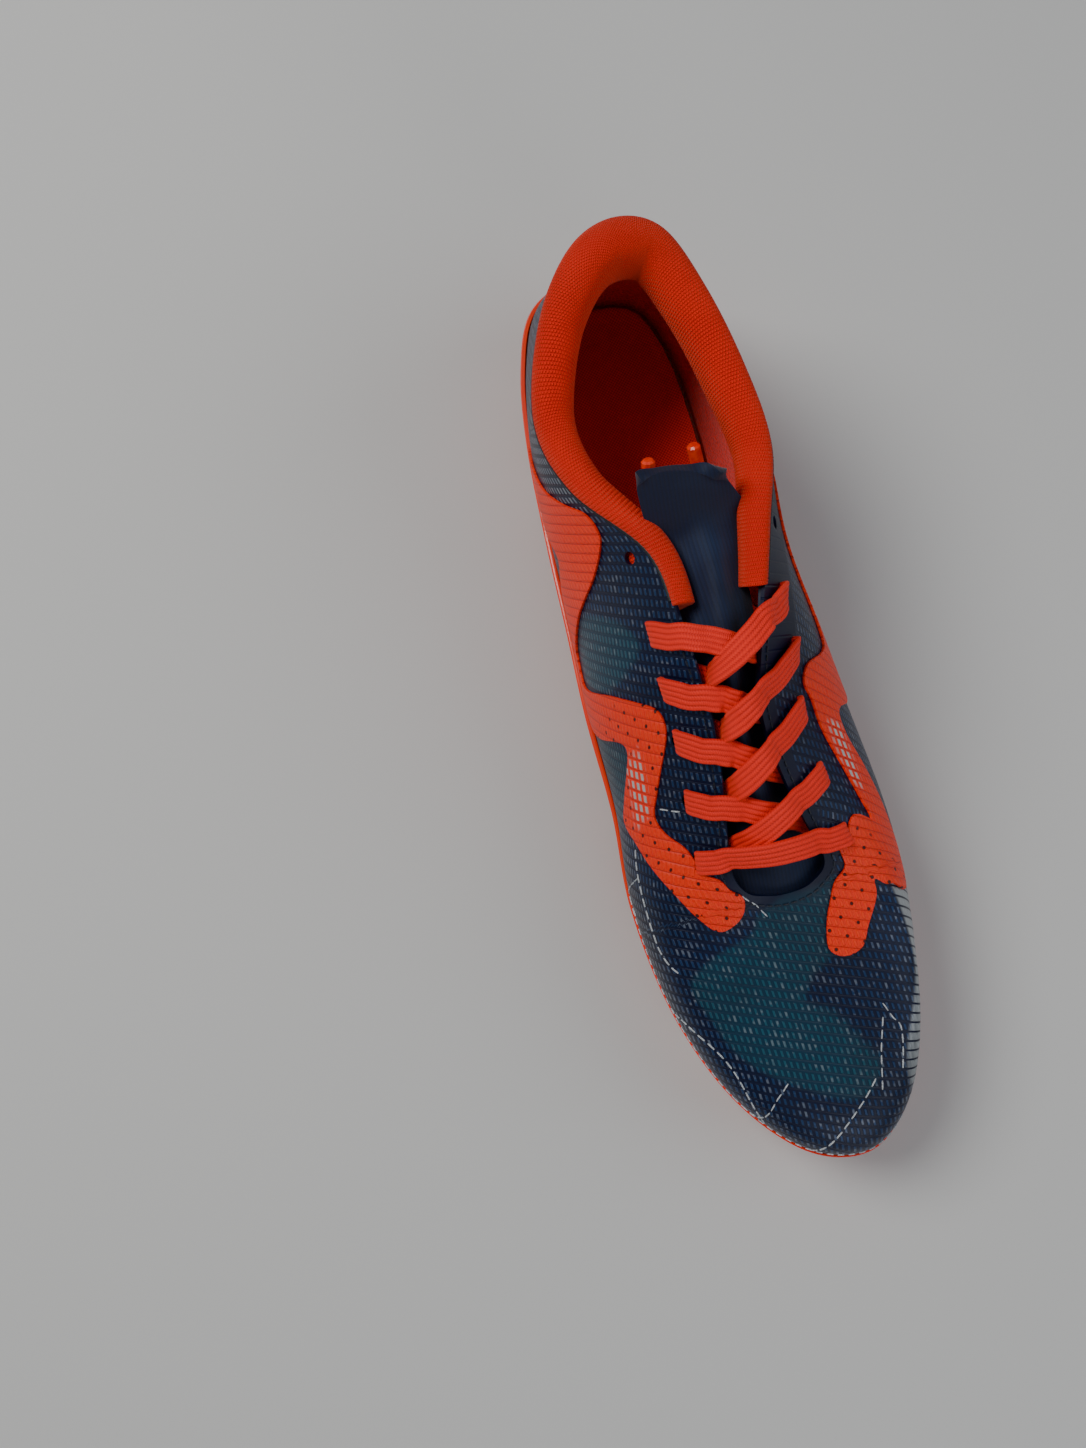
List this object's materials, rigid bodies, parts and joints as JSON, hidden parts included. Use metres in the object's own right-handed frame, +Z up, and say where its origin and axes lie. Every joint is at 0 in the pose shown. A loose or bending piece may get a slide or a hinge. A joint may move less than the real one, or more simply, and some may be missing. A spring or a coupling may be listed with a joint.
{
  "type": "soccer cleat",
  "caption": "Low-cut lace-up soccer cleat for the right foot, with a padded knit collar, hinged tongue, zigzag overlays and a moulded outsole on metal-capped studs.",
  "frame": {"origin": "on the ground under the stud caps, in the middle of the shoe's plan box", "axes": "+Z up, toe towards -Y and heel towards +Y, medial (big toe) side towards +X"},
  "size_m": [0.0858, 0.2832, 0.1065],
  "materials": {
    "aglet": "clear film over orange-red lace",
    "collar_knit": "ribbed orange-red knit",
    "facing": "smooth navy synthetic",
    "foam": "open-cell foam padding",
    "lace": "flat woven orange-red lace",
    "lasting_board": "non-woven fibre board",
    "lining": "orange-red mesh lining",
    "outsole": "glossy moulded orange-red TPU",
    "overlay": "welded orange-red film, satin, finely embossed",
    "sockliner": "fabric-covered moulded foam footbed",
    "stiffener": "thermoformed stiffener sheet",
    "stud_cap": "satin turned aluminium",
    "tongue_face": "smooth navy synthetic",
    "upper_shell": "semi-gloss navy coated synthetic with an embossed pattern"
  },
  "bodies": {
    "shoe": {"aglet_lateral": "aglet", "aglet_medial": "aglet", "collar_cover": "collar_knit", "collar_foam": "foam", "eyestay_lateral": "facing", "eyestay_medial": "facing", "forefoot_lining": "lining", "heel_counter": "stiffener", "heel_lining": "lining", "lace": "lace", "lasting_board": "lasting_board", "outsole": "outsole", "overlay_lateral": "overlay", "overlay_medial": "overlay", "sockliner": "sockliner", "stud_cap_lateral_1": "stud_cap", "stud_cap_lateral_2": "stud_cap", "stud_cap_lateral_3": "stud_cap", "stud_cap_lateral_4": "stud_cap", "stud_cap_lateral_5": "stud_cap", "stud_cap_lateral_6": "stud_cap", "stud_cap_medial_1": "stud_cap", "stud_cap_medial_2": "stud_cap", "stud_cap_medial_3": "stud_cap", "stud_cap_medial_4": "stud_cap", "stud_cap_medial_5": "stud_cap", "stud_cap_medial_6": "stud_cap", "throat_patch": "facing", "toe_puff": "stiffener", "tongue_base_face": "tongue_face", "tongue_base_foam": "foam", "tongue_base_lining": "lining", "upper_shell": "upper_shell"},
    "tongue_flap": {"tongue_flap_face": "tongue_face", "tongue_flap_foam": "foam", "tongue_flap_lining": "lining"}
  },
  "joints": [
    {"name": "tongue_fold", "type": "hinge", "parent": "shoe", "child": "tongue_flap", "pos_m": [0.00278, 0.04483, 0.0842], "axis": [1, 0, 0], "range_deg": [0, 55], "stiffness_Nm_per_rad": 0.04}
  ]
}
